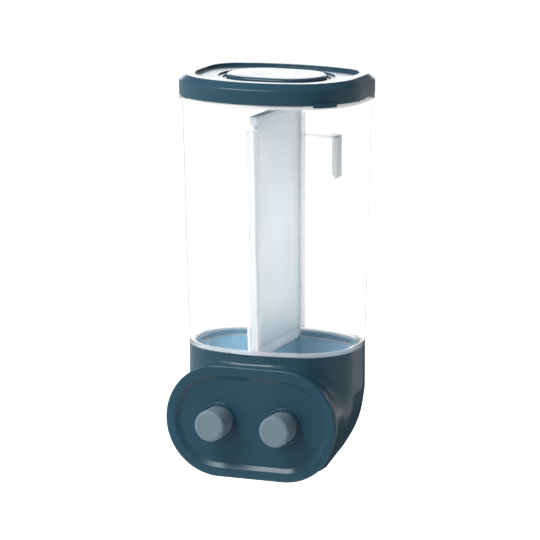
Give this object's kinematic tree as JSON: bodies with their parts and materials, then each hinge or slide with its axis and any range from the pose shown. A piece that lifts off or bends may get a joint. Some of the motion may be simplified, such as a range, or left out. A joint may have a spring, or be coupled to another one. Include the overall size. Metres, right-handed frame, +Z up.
{
  "type": "wall mounted grain dispenser",
  "caption": "Tall clear container on a wall bracket, with a lift off lid, a divider, a hopper base and push buttons that open gates over outlet chutes.",
  "frame": {"origin": "middle of the adhesive pad's back face, on the wall", "axes": "+X to the viewer's right, +Y into the wall, +Z up; the front with the buttons faces -Y"},
  "size_m": [0.1394, 0.1324, 0.2935],
  "materials": {
    "clear_plastic": "clear, polished",
    "frosted_plastic": "frosted, translucent",
    "teal_plastic": "deep blue teal, satin gloss",
    "grey_plastic": "blue grey, fine satin",
    "pale_blue_plastic": "pale blue, smooth",
    "white_plastic": "off white, smooth",
    "silicone": "translucent white silicone",
    "steel": "plain bright steel",
    "clear_adhesive": "clear gel tape"
  },
  "bodies": {
    "bracket": {"wall_bracket": "clear_plastic", "adhesive_pad": "clear_adhesive"},
    "container": {"clear_tank": "clear_plastic", "divider_panel": "frosted_plastic", "base_housing": "teal_plastic", "front_panel": "teal_plastic", "hopper_insert": "pale_blue_plastic", "gate_tray": "white_plastic", "seal_ring": "silicone", "tray_screw_front": "steel", "tray_screw_rear": "steel", "return_spring_left": "steel", "return_spring_right": "steel"},
    "lid": {"lid_shell": "teal_plastic", "lid_grip": "teal_plastic", "lid_gasket": "silicone"},
    "left_button": {"button_left": "grey_plastic", "gate_left": "white_plastic", "gate_pin_left": "steel"},
    "right_button": {"button_right": "grey_plastic", "gate_right": "white_plastic", "gate_pin_right": "steel"}
  },
  "joints": [
    {"name": "container_lift", "type": "slide", "parent": "bracket", "child": "container", "axis": [0, 0, 1], "range_m": [0, 0.034]},
    {"name": "lid_lift", "type": "slide", "parent": "container", "child": "lid", "axis": [0, 0, 1], "range_m": [0, 0.04]},
    {"name": "left_button_press", "type": "slide", "parent": "container", "child": "left_button", "axis": [0, 1, 0], "range_m": [0, 0.014], "stiffness_N_per_m": 150, "springref_m": -0.02, "deforming": ["return_spring_left"]},
    {"name": "right_button_press", "type": "slide", "parent": "container", "child": "right_button", "axis": [0, 1, 0], "range_m": [0, 0.014], "stiffness_N_per_m": 150, "springref_m": -0.02, "deforming": ["return_spring_right"]}
  ]
}
